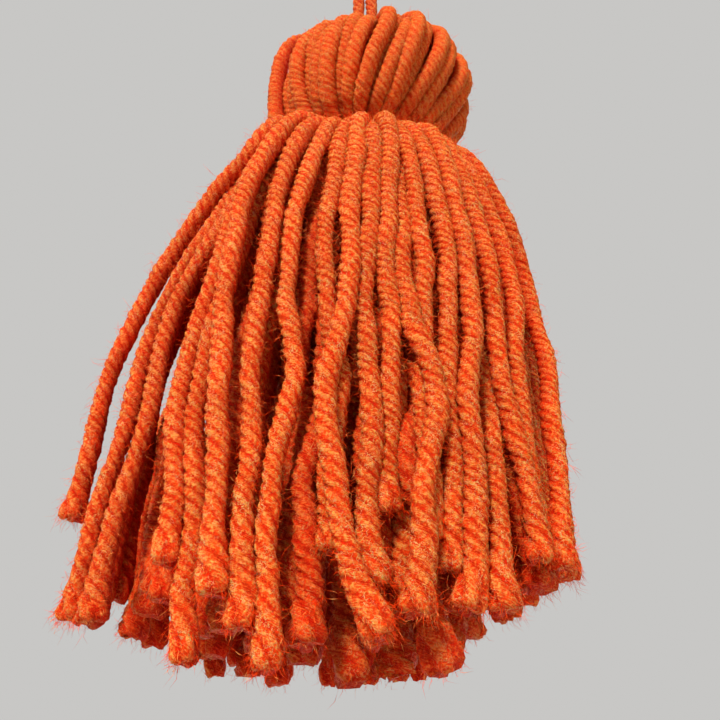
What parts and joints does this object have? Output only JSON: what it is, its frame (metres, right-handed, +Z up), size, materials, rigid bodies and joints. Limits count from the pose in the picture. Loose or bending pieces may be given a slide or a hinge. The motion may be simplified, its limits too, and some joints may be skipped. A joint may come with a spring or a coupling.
{
  "type": "yarn tassel",
  "caption": "Hanging tassel of plied yarn: a looped head on a doubled tie, bound at the neck, with a belled skirt of cut strands.",
  "frame": {"origin": "inside of the hanging loop's top, where a peg or hook bears", "axes": "+Z up along the tie, -Y towards the front"},
  "size_m": [0.0659, 0.0614, 0.172],
  "materials": {
    "tassel_yarn": "matt plied yarn with a soft fuzz",
    "binding_yarn": "matt plied yarn with a soft fuzz",
    "tie_yarn": "matt plied yarn with a soft fuzz"
  },
  "bodies": {
    "root": {"tassel": "tassel_yarn", "neck_binding": "binding_yarn", "hanging_tie": "tie_yarn"}
  },
  "joints": []
}
